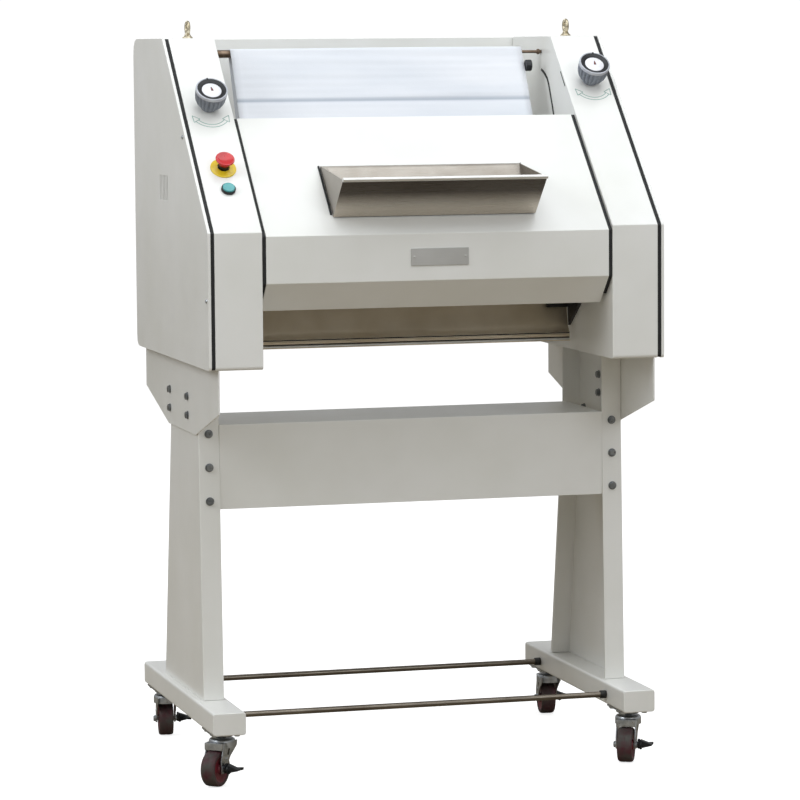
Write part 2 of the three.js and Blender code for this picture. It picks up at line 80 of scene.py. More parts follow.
# %% Floor and light
def lit_world(seen, given):
    """A white surround: seen is its brightness to the camera, given what it lends as light."""
    world = bpy.data.worlds.new("surround")
    world.use_nodes = True
    bpy.context.scene.world = world
    tree = world.node_tree
    strength = tree.nodes.new("ShaderNodeMapRange")
    strength.inputs["To Min"].default_value = given
    strength.inputs["To Max"].default_value = seen
    path = tree.nodes.new("ShaderNodeLightPath")
    tree.links.new(path.outputs["Is Camera Ray"], strength.inputs["Value"])
    tree.nodes["Background"].inputs["Color"].default_value = (1, 1, 1, 1)
    tree.links.new(strength.outputs["Result"], tree.nodes["Background"].inputs["Strength"])


def softbox(name, at, aim, size, power, tint=(0.93, 0.97, 1.0)):
    """A rectangular lamp that stands at a point and shines at another."""
    light = bpy.data.lights.new(name, "AREA")
    light.shape = "RECTANGLE"
    light.size, light.size_y = size
    light.energy = power
    light.color = tint
    lamp = bpy.data.objects.new(name, light)
    lamp.location = at
    lamp.rotation_mode = "QUATERNION"
    lamp.rotation_quaternion = (Vector(aim) - Vector(at)).to_track_quat("-Z", "Y")
    bpy.context.scene.collection.objects.link(lamp)


lit_world(seen=1.05, given=0.42)
softbox("overhead", (0.2, -1.2, 4.4), (0, -0.1, 1.0), (4.0, 3.0), 80)
softbox("front_window", (1.8, -5.5, 3.4), (0.1, 0, 1.1), (3.0, 2.0), 62)
softbox("left_window", (-3.4, -0.9, 3.0), (-0.4, 0, 1.3), (2.0, 2.0), 48)
softbox("behind", (-1.0, 4.5, 3.4), (0, 0, 1.0), (3.0, 2.5), 40)
bpy.context.scene.view_settings.view_transform = "Standard"

# %% [markdown]
# A finish is a Principled shader with a little pattern fed into it. Three small helpers keep each
# recipe readable: one adds a node and plugs in its inputs, one makes noise on Object coordinates, and
# one turns a noise into a colour between two shades. Values that are even all over go straight on the
# socket, because a link would be lost when the model is exported.

# %% Helpers for finishes
def colour(code):
    """A linear colour from a hex code."""
    parts = [int(code[i : i + 2], 16) / 255 for i in (0, 2, 4)]
    return (*[c / 12.92 if c <= 0.04045 else ((c + 0.055) / 1.055) ** 2.4 for c in parts], 1)


def plug(material, kind, inputs, **settings):
    """A new node of a kind, with its inputs linked or set."""
    node = material.node_tree.nodes.new(kind)
    for key, value in settings.items():
        setattr(node, key, value)
    for socket, value in inputs.items():
        if isinstance(value, bpy.types.NodeSocket):
            material.node_tree.links.new(value, node.inputs[socket])
        else:
            node.inputs[socket].default_value = value
    return node


def grain(material, scale, detail=2.0, stretch=(1, 1, 1)):
    """Noise in the frame's own metres: scale is how many blotches go in one metre."""
    spot = plug(material, "ShaderNodeTexCoord", {}).outputs["Object"]
    spot = plug(material, "ShaderNodeMapping", {"Vector": spot, "Scale": stretch}).outputs["Vector"]
    sockets = {"Vector": spot, "Scale": scale, "Detail": detail}
    return plug(material, "ShaderNodeTexNoise", sockets).outputs["Fac"]


def shade(material, factor, low, high, first, second):
    """A colour that goes from first to second as the factor goes from low to high."""
    ramp = plug(material, "ShaderNodeValToRGB", {"Fac": factor})
    for stop, place, code in zip(ramp.color_ramp.elements, (low, high), (first, second)):
        stop.position = place
        stop.color = colour(code)
    return ramp.outputs["Color"]


def spread(material, factor, low, high, first, second):
    """The same with numbers instead of colours."""
    sockets = {"Value": factor, "From Min": low, "From Max": high, "To Min": first, "To Max": second}
    return plug(material, "ShaderNodeMapRange", sockets).outputs["Result"]


def relief(material, height, depth, under=None, strength=1.0):
    """Bump of a depth in mm, on top of another bump if one is given."""
    sockets = {"Height": height, "Distance": depth * MM, "Strength": strength}
    if under is not None:
        sockets["Normal"] = under
    return plug(material, "ShaderNodeBump", sockets).outputs["Normal"]


def finish(name, base, roughness, metallic=0.0, normal=None, **fixed):
    """A material whose shader takes sockets or plain values."""
    shader = name.node_tree.nodes["Principled BSDF"]
    values = {"Base Color": base, "Roughness": roughness, "Metallic": metallic}
    values.update({key.replace("_", " "): value for key, value in fixed.items()})
    if normal is not None:
        values["Normal"] = normal
    for socket, value in values.items():
        if isinstance(value, bpy.types.NodeSocket):
            name.node_tree.links.new(value, shader.inputs[socket])
        else:
            shader.inputs[socket].default_value = colour(value) if isinstance(value, str) else value
    return name


def blank(name):
    """A new material with nothing but its shader."""
    material = bpy.data.materials.new(name)
    material.use_nodes = True
    return material


print("helpers ready")

# %% [markdown]
# The sheet metal is powder coated: an off-white gloss with a fine orange peel, a very slight change
# of tone over a hand's width, and a duller film of flour dust. Roughness carries most of it, since a
# gloss paint gives itself away in its reflections rather than in its colour.

# %% White powder coat
def powder_coat(name, light, dark, gloss=0.3):
    m = blank(name)
    tone = shade(m, grain(m, 5, 3), 0.35, 0.7, light, dark)
    dust = spread(m, grain(m, 38, 5), 0.35, 0.75, gloss, gloss + 0.12)
    peel = relief(m, grain(m, 620, 1.5), 0.05)
    wave = relief(m, grain(m, 24, 1), 0.25, under=peel)
    return finish(m, tone, dust, normal=wave, Coat_Weight=0.2, Coat_Roughness=0.12, Specular_IOR_Level=0.45)


white_paint = powder_coat("white_powder_coat", "f2f2ef", "ebebe6")
frame_paint = powder_coat("machined_grey_frame", "9da2a6", "8c9195", 0.42)
motor_enamel = powder_coat("motor_enamel", "7c8993", "6b7780", 0.4)
print("coats", white_paint.name, frame_paint.name, motor_enamel.name)

# %% [markdown]
# Brushed stainless steel is a mirror with thousands of fine scratches along one direction. Noise that
# is stretched along X gives the scratches, in roughness and in a shallow bump, and the shader's own
# anisotropy smears the highlight across them. Zinc plate has a fine spangle of cells instead.

# %% Steels
def brushed_steel(name, light, dark, roughness=0.3, along=(1, 60, 60), shade_heights=None):
    """A pair of heights, when given, paints shade onto the tone: light at the lower height, dark at the
    upper.
    """
    m = blank(name)
    scratches = grain(m, 22, 6, along)
    if shade_heights:
        spot = plug(m, "ShaderNodeTexCoord", {}).outputs["Object"]
        height = plug(m, "ShaderNodeSeparateXYZ", {"Vector": spot}).outputs["Z"]
        tone = shade(m, spread(m, height, *shade_heights, 0, 1), 0.1, 0.9, light, dark)
    else:
        tone = shade(m, grain(m, 9, 3), 0.3, 0.7, light, dark)
    rough = spread(m, scratches, 0.3, 0.7, roughness - 0.07, roughness + 0.1)
    return finish(m, tone, rough, 1.0, relief(m, scratches, 0.03), Anisotropic=0.45)


def plated_steel(name, light, dark, roughness=0.32):
    m = blank(name)
    cells = plug(m, "ShaderNodeTexVoronoi", {"Scale": 260.0}).outputs["Distance"]
    tone = shade(m, grain(m, 90, 3), 0.35, 0.7, light, dark)
    rough = spread(m, grain(m, 150, 4), 0.3, 0.7, roughness - 0.08, roughness + 0.14)
    return finish(m, tone, rough, 1.0, relief(m, cells, 0.03))


stainless = brushed_steel("brushed_stainless", "c9c5be", "b3aea6")
tray_steel = brushed_steel("hopper_stainless", "a8a29a", "8d867d", 0.3)
# A copy of the hopper steel with painted shade: dark at the top of the tray's front, under the rolled lip,
# and light lower down.
tray_painted_shade = brushed_steel("hopper_front_painted_shade", "c4bbae", "625d58", 0.28, shade_heights=(1.192, 1.236))
# Near-white steel that paints a highlight along rolled edges: the hopper lip and one bead on the discharge
# plate.
highlight_steel = brushed_steel("painted_highlight_edge", "f4f4f2", "e9e9e6", 0.5)
rod_steel = brushed_steel("tie_rod_steel", "8b8378", "6c645a", 0.34)
# A brown steel for the top belt roller, its tone varying at random.
brown_steel = plated_steel("brown_shaft", "8d7a69", "6a5a4b", 0.4)
# Its warm cream tone paints the brown surroundings reflected in the stainless of the discharge plate and one
# bead.
reflection_tinted_steel = brushed_steel("stainless_painted_warm_reflection", "e6dac6", "d3c5ad", 0.42)
satin = brushed_steel("satin_plate", "dddddb", "cfcfcc", 0.48)
dull_zinc = plated_steel("dull_zinc_bolts", "9a9d9f", "75797c", 0.34)
zinc = plated_steel("zinc_plate", "c4c8cc", "a3a8ad")
yellow_zinc = plated_steel("yellow_zinc_plate", "d9cfb8", "b0a488", 0.36)
print("steels", stainless.name, zinc.name)

# %% [markdown]
# Plastics and rubbers differ mainly in how fine their moulded texture is and how dull they are. One
# recipe with a base, a darker tone for wear, and a grain depth serves them all.

# %% Plastics and rubbers
def moulded(name, light, dark, roughness, grain_depth=0.04, pattern=900, **fixed):
    m = blank(name)
    tone = shade(m, grain(m, 45, 4), 0.35, 0.7, light, dark)
    rough = spread(m, grain(m, 120, 3), 0.3, 0.7, roughness - 0.05, roughness + 0.08)
    return finish(m, tone, rough, normal=relief(m, grain(m, pattern, 2), grain_depth), **fixed)


black_rubber = moulded("black_rubber", "1f2021", "161617", 0.68, 0.08)
black_steel = moulded("blackened_steel", "1d1c1b", "121211", 0.45)
black_plastic = moulded("black_plastic", "101218", "0b0c11", 0.4)
knob_grey = moulded("grey_knob_plastic", "8a909b", "787e8a", 0.42, 0.05)
rim_grey = moulded("pale_knob_rim", "c9ccd4", "b7bac3", 0.36)
dial_white = moulded("dial_white", "f6f6fa", "ececf2", 0.3, 0.01)
pointer_brown = moulded("dial_pointer", "7a3b33", "5c2a25", 0.5, 0.01)
signal_red = moulded("signal_red", "d5131c", "bd0f17", 0.3, 0.02, Coat_Weight=0.4, Coat_Roughness=0.1)
signal_yellow = moulded("signal_yellow", "f0d42a", "dfbf1e", 0.36, 0.02, Coat_Weight=0.2, Coat_Roughness=0.15)
signal_green = moulded("signal_green", "55aeb0", "4aa0a3", 0.32, 0.02, Coat_Weight=0.3, Coat_Roughness=0.1)
mark_green = moulded("printed_grey_green", "86a89e", "9dbab1", 0.5, 0.005)
wheel_maroon = moulded("maroon_hub", "74222e", "571822", 0.42, 0.04)
tread_grey = moulded("worn_tread", "474440", "4c1f29", 0.6, 0.1, 500)
nylon_white = moulded("nylon_white", "f0eee8", "e4e1d8", 0.42, 0.03)
print("plastics and rubbers ready")

# %% [markdown]
# Felt is a mat of short fibres. Very fine noise gives the nap, a coarser one the cloudy tone, and sheen
# lights the fibre tips at a glancing angle. A darker line across it is painted shade under the step
# where the endless belt's ends are lapped, and it follows the belt because it is painted from the
# belt's own attribute.

# %% Felt
def belt_felt(name):
    m = blank(name)
    cloudy = shade(m, grain(m, 14, 4, (0.25, 1, 1)), 0.3, 0.72, "eceef3", "dfe3ea")
    # A darker blue-grey mixed in along the lap paints the shade under its step.
    lap_shade = plug(m, "ShaderNodeAttribute", {}, attribute_name="lap_shade").outputs["Fac"]
    blend = {"Factor": lap_shade, "A": cloudy, "B": colour("a3adba")}
    tone = plug(m, "ShaderNodeMix", blend, data_type="RGBA")
    nap = relief(m, grain(m, 1500, 3), 0.12)
    pile = relief(m, grain(m, 260, 4, (1, 2, 2)), 0.18, under=nap)
    return finish(m, tone.outputs["Result"], 0.95, normal=pile, Sheen_Weight=0.35, Sheen_Roughness=0.6)


felt = belt_felt("belt_felt")
print("felt ready")

# %% [markdown]
# Every piece is made in a bmesh. Most have their doubles merged, faces turned outwards and edges
# rounded on the way, and every mesh ends hung on the body that carries it. A weighted normal keeps the
# big flat sheets flat while their thin rounded edges still catch the light.

# %% Helpers for pieces
def facing(point, direction):
    """A matrix that stands a shape at a point, its Z along a direction."""
    turn = Vector(direction).to_track_quat("Z", "Y").to_matrix().to_4x4()
    return Matrix.Translation(Vector(point)) @ turn


def cleaned(bm):
    """Merges doubles, drops faces of no size and turns the rest outwards."""
    bmesh.ops.remove_doubles(bm, verts=bm.verts, dist=2e-6)
    bmesh.ops.dissolve_degenerate(bm, edges=bm.edges, dist=1e-6)
    bmesh.ops.recalc_face_normals(bm, faces=bm.faces)
    return bm


def shift(bm, geometry, along):
    """Moves the points among some geometry by a vector, in mm."""
    points = [v for v in geometry if isinstance(v, bmesh.types.BMVert)]
    bmesh.ops.translate(bm, vec=Vector(along) * MM, verts=points)


def paint(bm, number):
    """Gives every face one material of the piece, by number."""
    for face in bm.faces:
        face.material_index = number
    return bm


def put(target, source, matrix=Matrix()):
    """Adds one bmesh to another, at a place."""
    source.transform(matrix)
    carrier = bpy.data.meshes.new("carrier")
    source.to_mesh(carrier)
    source.free()
    target.from_mesh(carrier)
    bpy.data.meshes.remove(carrier)
    return target


def is_fold(edge, breadth):
    """True where two broad faces meet in an outward corner, as at a bend in a sheet."""
    if not edge.is_manifold or not edge.is_convex or edge.calc_face_angle() < math.radians(12):
        return False
    return min(face.calc_area() for face in edge.link_faces) / max(edge.calc_length(), 1e-6) > breadth


def rounded(bm, edge=0.6, bend=0.0, steps=3, angle=38):
    """Rounds bends with one radius and every other sharp outward edge with a smaller one, in mm."""
    if bend:
        folds = [e for e in bm.edges if is_fold(e, 11 * MM)]
        bmesh.ops.bevel(bm, geom=folds, offset=bend * MM, offset_type="OFFSET", segments=steps,
                        profile=0.5, affect="EDGES", clamp_overlap=True, material=-1)
    sharp = [e for e in bm.edges if e.is_manifold and e.calc_face_angle() > math.radians(angle)]
    if edge and sharp:
        bmesh.ops.bevel(bm, geom=sharp, offset=edge * MM, offset_type="OFFSET", segments=2,
                        profile=0.5, affect="EDGES", clamp_overlap=True, material=-1)
    return bm


def piece(bm, name, body, materials, replaced=(), smooth=40):
    """Makes an object of a bmesh, hangs it on its body and hides the frame parts it stands in for."""
    mesh = bpy.data.meshes.new(name)
    bm.to_mesh(mesh)
    bm.free()
    mesh.shade_smooth()
    mesh.set_sharp_from_angle(angle=math.radians(smooth))
    made = bpy.data.objects.new(name, mesh)
    bpy.context.scene.collection.objects.link(made)
    for material in materials:
        mesh.materials.append(material)
    shading = made.modifiers.new("even_shading", "WEIGHTED_NORMAL")
    shading.keep_sharp = True
    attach(made, body)
    if replaced:
        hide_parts(*replaced)
    return made


def copied(node):
    """A frame node's own shape, merged and with its flat faces whole again."""
    bm = bmesh.new()
    bm.from_mesh(frame["nodes"][node].data)
    bmesh.ops.remove_doubles(bm, verts=bm.verts, dist=5e-6)
    bmesh.ops.dissolve_limit(bm, angle_limit=math.radians(0.4), verts=bm.verts, edges=bm.edges)
    return bm


def dressed(node, body, material, edge=0.6, bend=0.0, smooth=40):
    """The node again, with its edges rounded."""
    bm = rounded(copied(node), edge, bend)
    return piece(bm, f"{node}_formed", body, [material], [node], smooth)


def turned(profile, steps=48):
    """A lathe piece: (radius, height) in mm about Z."""
    bm = bmesh.new()
    points = [bm.verts.new((radius * MM, 0, height * MM)) for radius, height in profile]
    line = [bm.edges.new(pair) for pair in zip(points, points[1:])]
    bmesh.ops.spin(bm, geom=points + line, cent=(0, 0, 0), axis=(0, 0, 1), angle=math.tau,
                   steps=steps, use_merge=True)
    return cleaned(bm)


def bar(start, end, radius, sides=24, tip=None):
    """A round or hexagonal bar between two points, in mm."""
    start, end = Vector(start) * MM, Vector(end) * MM
    bm = bmesh.new()
    bmesh.ops.create_cone(bm, cap_ends=True, segments=sides, radius1=radius * MM,
                          radius2=(radius if tip is None else tip) * MM, depth=(end - start).length,
                          matrix=facing((start + end) / 2, end - start))
    return bm


def block(low, high):
    """A box between two corners, in mm."""
    low, high = Vector(low) * MM, Vector(high) * MM
    bm = bmesh.new()
    place = Matrix.Translation((low + high) / 2) @ Matrix.Diagonal((*(high - low), 1))
    bmesh.ops.create_cube(bm, size=1, matrix=place)
    return bm


def plate(corners, along):
    """A flat outline, in mm, drawn out along a vector, in mm."""
    bm = bmesh.new()
    face = bm.faces.new([bm.verts.new(Vector(corner) * MM) for corner in corners])
    drawn = bmesh.ops.extrude_face_region(bm, geom=[face])["geom"]
    shift(bm, drawn, along)
    return cleaned(bm)


print("piece helpers ready")

# %% [markdown]
# Most of the machine is bent sheet: housings, covers, hood, legs, feet and beam. Their shapes are
# right in the frame, but their edges are perfectly sharp, which no bent sheet is. A copy of each gets a
# bend radius where two broad faces meet, and a fine deburred edge everywhere else. The tray's front,
# which faces down and forwards, gets a second copy of its steel with painted shade, dark at the top
# under the rolled lip and lighter lower down.

# %% Sheet metal
for side, _ in SIDES:
    dressed(f"housing_{side}", "machine", white_paint, 0.5, 2.4)
    dressed(f"side_cover_{side}", "machine", white_paint, 0.4, 1.6)
    dressed(f"foot_{side}", "machine", white_paint, 0.8, 2.4)
    dressed(f"leg_{side}", "machine", white_paint, 0.6, 2.4)
    dressed(f"shoulder_plate_{side}", "machine", white_paint, 0.7)
    dressed(f"side_frame_{side}", "machine", frame_paint, 0.6)
    dressed(f"side_seal_{side}", "machine", black_rubber, 0.8)
    dressed(f"hood_seal_{side}", "machine", black_rubber, 0.8)
dressed("cross_beam", "machine", white_paint, 0.6, 2.6)
dressed("rear_cover", "machine", white_paint, 0.5, 1.2, 15)
dressed("hood", "hood_unit", white_paint, 0.5, 3.0)
tray = rounded(copied("hopper"), 0.4)
# Faces that look down and forwards take the copy of the steel with painted shade.
for face in tray.faces:
    face.material_index = int(face.normal.y < -0.5 and face.normal.z < -0.5)
piece(tray, "hopper_formed", "hood_unit", [tray_steel, tray_painted_shade], ["hopper"])
dressed("discharge_plate", "machine", reflection_tinted_steel, 0.5)
dressed("plate_bracket", "machine", black_steel, 0.8)

# %% [markdown]
# The shafts, rollers and drive hide inside, yet the top of the belt is open and the hood swings up, so
# they are dressed too: rounded roller ends, ground shafts, a painted motor and a chain.

# %% Rollers and drive
dressed("tie_rod_front", "machine", rod_steel, 0.6)
dressed("tie_rod_rear", "machine", rod_steel, 0.6)
dressed("hood_hinge_rod", "machine", stainless, 0.6)
dressed("sheeting_roller_upper", "upper_sheeting_roller", nylon_white, 1.5)
dressed("sheeting_roller_lower", "lower_sheeting_roller", nylon_white, 1.5)
dressed("belt_roller_top", "belt_top_roller", brown_steel, 1.2)
dressed("belt_roller_bottom", "belt_drive_roller", zinc, 1.2)
dressed("driven_sprocket", "belt_drive_roller", zinc, 0.6)
dressed("drive_sprocket", "motor_sprocket", zinc, 0.6)
dressed("drive_chain", "machine", black_steel, 0.6)
dressed("motor", "machine", motor_enamel, 1.5)
dressed("gap_carriage", "gap_carriage_unit", frame_paint, 0.8)
dressed("moulding_board", "board_unit", felt, 1.5)
print("drive pieces dressed")

# %% [markdown]
# The floor is a plain pale disc that reaches beyond every view. A white floor would throw as much
# light back up as the lamps throw down and leave no shade under the hood, so it looks pale but lends
# the machine only the dim, warm light of a workshop floor. It isn't part of the machine, so it hangs
# on no body.

# %% Floor
FLOOR_RADIUS, FLOOR_GLOW = 25, 0.76
ground = bmesh.new()
bmesh.ops.create_circle(ground, cap_ends=True, segments=96, radius=FLOOR_RADIUS)
floor_mesh = bpy.data.meshes.new("floor")
ground.to_mesh(floor_mesh)
ground.free()
floor = bpy.data.objects.new("floor", floor_mesh)
bpy.context.scene.collection.objects.link(floor)
floor_paint = blank("pale_floor")
seen = plug(floor_paint, "ShaderNodeLightPath", {}).outputs["Is Camera Ray"]
pale = shade(floor_paint, grain(floor_paint, 0.6), 0.3, 0.7, "dcdcdc", "d8d8d8")
blend = {"Factor": seen, "A": colour("978c79"), "B": pale}
tone = plug(floor_paint, "ShaderNodeMix", blend, data_type="RGBA")
glow = spread(floor_paint, seen, 0, 1, 0.0, FLOOR_GLOW)
finish(floor_paint, tone.outputs["Result"], 0.9, Emission_Color="ffffff", Emission_Strength=glow)
floor_mesh.materials.append(floor_paint)
print("floor ready")

# %% [markdown]
# The two fluted knobs set the roller gap and the moulding board. Each is a lathe piece whose grip has
# finger grooves: a spin gives even columns of points, and the columns are drawn in wherever a groove
# runs. A pale rim, a black ring and a domed white dial with a pointer fill its face.

# %% Knobs
SLANT = math.atan2(395, 422)
PANEL_FOOT = Vector((0, -343, 1155))
GAP_KNOB, BOARD_KNOB = (-425, 367), (432, 435.5)
FLUTES = 22
SEAT = 46.5  # where the dial, ring and rim stand on the grip


def on_panel(across, along):
    """Stands a shape square on the slanted control panel, so far up it from its lower corner, in mm."""
    foot = PANEL_FOOT + Vector((across, along * math.cos(SLANT), along * math.sin(SLANT)))
    return Matrix.Translation(foot * MM) @ Matrix.Rotation(SLANT, 4, "X")


def knob(name, node, body, across, along, turn):
    grip = turned([(0, 0.6), (16.6, 0.6), (18.2, 3), (19, 6), (24, 11), (28, 16.5), (30.6, 22), (32.2, 28),
                   (33, 34), (33.4, 40), (33.4, 46), (31, 47), (0, 47)], FLUTES * 6)
    for point in grip.verts:
        radius, height = math.hypot(point.co.x, point.co.y), point.co.z / MM
        if radius > 19.5 * MM and height < SEAT:
            groove = max(0, math.cos(FLUTES * math.atan2(point.co.y, point.co.x))) ** 0.7
            fade = min(1, (SEAT - height) / 4) * min(1, (height - 6) / 6)
            point.co.xy *= 1 - 0.095 * groove * fade
    bm = bmesh.new()
    put(bm, grip)
    rim = turned([(30.4, SEAT), (33.8, SEAT), (34, 50.6), (33.6, 52), (32.6, 52.9), (31, 53),
                  (30.4, 52), (30.4, SEAT)], 64)
    ring = turned([(20.8, SEAT), (30.5, SEAT), (30.5, 52.3), (28.6, 52.6), (22.8, 50.4),
                   (20.8, 49.2), (20.8, SEAT)], 64)
    dial = turned([(0, SEAT), (20.9, SEAT), (20.9, 48.8), (18, 50.2), (11, 51.5), (5, 52.1), (0, 52.2)], 64)
    for number, part in enumerate((rim, ring, dial), 1):
        put(bm, paint(part, number))
    put(bm, paint(block((-1.8, 28, 46), (1.8, 33.6, 53)), 2))
    pointer = plate([(-2.6, -4.5, 51.8), (2.6, -4.5, 51.8), (0.7, 6.5, 51.8), (-0.7, 6.5, 51.8)], (0, 0, 0.9))
    put(bm, paint(pointer, 4))
    put(bm, paint(turned([(0, 51.5), (2.4, 51.5), (2.4, 52.7), (1.8, 53), (0, 53)], 24), 4))
    bm.transform(on_panel(across, along) @ Matrix.Rotation(turn, 4, "Z"))
    finishes = [knob_grey, rim_grey, black_plastic, dial_white, pointer_brown]
    piece(bm, name, body, finishes, [node], 34)


knob("gap_knob_grip", "gap_knob", "gap_knob_unit", *GAP_KNOB, 0.15)
knob("board_knob_grip", "board_knob", "board_knob_unit", *BOARD_KNOB, -0.1)
print("knobs", FLUTES, "flutes each")

# %% [markdown]
# Under each knob a faint double arrow is printed on the paint, to say which way it turns. Each line of
# it is a thin strip: an edge spun round a centre, then given the thickness of a print.

# %% Printed arrows
PRINT = 0.12


def arrow_marks(name, across, along):
    bm = bmesh.new()
    for radius, width, reach in ((40.5, 1.7, 56), (33.0, 1.7, 54)):
        strip = bmesh.new()
        turn = Matrix.Rotation(math.radians(-90 - reach), 4, "Z")
        ends = [strip.verts.new(turn @ Vector((r * MM, 0, 0))) for r in (radius, radius + width)]
        edge = strip.edges.new(ends)
        bmesh.ops.spin(strip, geom=ends + [edge], cent=(0, 0, 0), axis=(0, 0, 1),
                       angle=math.radians(2 * reach), steps=40)
        top = bmesh.ops.extrude_face_region(strip, geom=strip.faces[:])["geom"]
        shift(strip, top, (0, 0, PRINT))
        put(bm, cleaned(strip))
    for hand in (-1, 1):
        corners = [Vector((hand * x, y, 0)) for x, y in ((39, -7), (24, -17), (37.5, -27))]
        for start, end in zip(corners, corners[1:] + corners[:1]):
            side = (end - start).cross(Vector((0, 0, 1))).normalized() * 0.8  # half a line's width
            put(bm, plate([start - side, end - side, end + side, start + side], (0, 0, PRINT)))
    bm.transform(on_panel(across, along) @ Matrix.Translation((0, -18 * MM, 0.05 * MM)))
    piece(bm, name, "machine", [mark_green])


arrow_marks("gap_knob_arrows", *GAP_KNOB)
arrow_marks("board_knob_arrows", *BOARD_KNOB)
print("arrows printed")

# %% [markdown]
# The emergency stop is a red mushroom that widens towards its dished top, on a black neck over a flat
# yellow disc. The start button under it has a teal cap in a dark bezel. Lathe profiles give both, and
# each moving part rides on its own push joint.

# %% Buttons
ESTOP, START = (-425, 185), (-425, 123)
head = turned([(0, 14.5), (11.6, 14.5), (12.6, 15.6), (14, 19), (17, 23.2), (19.6, 26.2), (20, 27.8),
               (19.5, 29.3), (18, 30), (15.5, 29.3), (11, 27.8), (6, 27), (0, 26.8)], 64)
neck = paint(turned([(0, -18), (10.8, -18), (10.8, 9), (11.4, 14.9), (0, 14.9)], 48), 1)
stop = put(put(bmesh.new(), head), neck)
stop.transform(on_panel(*ESTOP))
piece(stop, "estop_mushroom", "estop_unit", [signal_red, black_plastic], ["estop_button"], 50)
disc = turned([(12.9, 0.3), (27, 0.3), (27.2, 1.6), (26.4, 2.6), (21, 3.2), (17, 4.6), (14.6, 5),
               (12.9, 5), (12.9, 0.3)], 64)
disc.transform(on_panel(*ESTOP))
piece(disc, "estop_disc", "machine", [signal_yellow], ["estop_collar"], 50)
cap = turned([(0, -12), (9.9, -12), (9.9, 3.6), (12.8, 3.6), (12.8, 8), (12.3, 9), (11, 9.5), (8, 9.4),
              (0, 9.2)], 48)
cap.transform(on_panel(*START))
piece(cap, "start_cap", "start_unit", [signal_green], ["start_button"], 50)
bezel = turned([(13.2, 0.3), (15, 0.3), (15.1, 4.6), (14.7, 6), (14.1, 6.5), (13.4, 6.4), (13.2, 5.8),
                (13.2, 0.3)], 48)
bezel.transform(on_panel(*START))
piece(bezel, "start_bezel_ring", "machine", [black_plastic], ["start_bezel"], 50)
print("buttons ready")

# %% [markdown]
# A lifting eye is forged: a ring that swells out of a flared foot. The ring is a circle of points spun
# round, laid over on its side, and the foot a lathe piece.

# %% Lifting eyes
for side, s in SIDES:
    circle = [(12 + 4 * math.cos(math.tau * i / 16), 4 * math.sin(math.tau * i / 16)) for i in range(17)]
    ring = turned(circle, 40)
    ring.transform(Matrix.Translation((0, 0, 22 * MM)) @ Matrix.Rotation(math.pi / 2, 4, "Y"))
    eye = put(bmesh.new(), ring)
    foot = turned([(0, 0.3), (11, 0.3), (11.4, 1.2), (11, 2.6), (8.6, 4.4), (6.4, 7.5), (5.2, 11), (5, 14),
                   (0, 14)], 40)
    put(eye, foot)
    eye.transform(Matrix.Translation((s * 425 * MM, 121 * MM, 1550 * MM)))
    node = f"lifting_eye_{side}"
    piece(eye, f"{node}_forged", "machine", [yellow_zinc], [node], 60)
print("lifting eyes ready")

# %% [markdown]
# Four swivel casters carry the stand. On each, a bolted plate with a ball race stays with the foot, a
# pressed fork swivels, a maroon wheel with a worn grey tread turns in it, and a black pedal brakes it.
# The joints tell where they stand and which way they trail, so one recipe makes all four. A fork is
# drawn afresh, because its deep crown and broad cheeks are what shows of it.

# %% Casters
JOINTS = {joint["name"]: joint for joint in frame["joints"]}
CHEEK = ((-27, 91), (28, 91), (42, 54), (40, 29), (23, 29), (4, 60), (-25, 80))
WEDGE = ((30.2, 49), (30.2, 30), (55.8, 36.4), (56.4, 39.6))


def hex_head(bm, start, end, across_flats, washer=0.0, number=0):
    """A hexagonal head on a washer, from start outwards to end, in mm."""
    start, end = Vector(start), Vector(end)
    way = (end - start).normalized()
    if washer:
        put(bm, paint(rounded(bar(start, start + way * 1.6, washer), 0.4), number))
        start = start + way * 1.5
    put(bm, paint(rounded(bar(start, end, across_flats / math.sqrt(3), 6), 0.6, angle=50), number))
    put(bm, paint(bar(start, end + way * 0.3, across_flats * 0.44, 24), number))


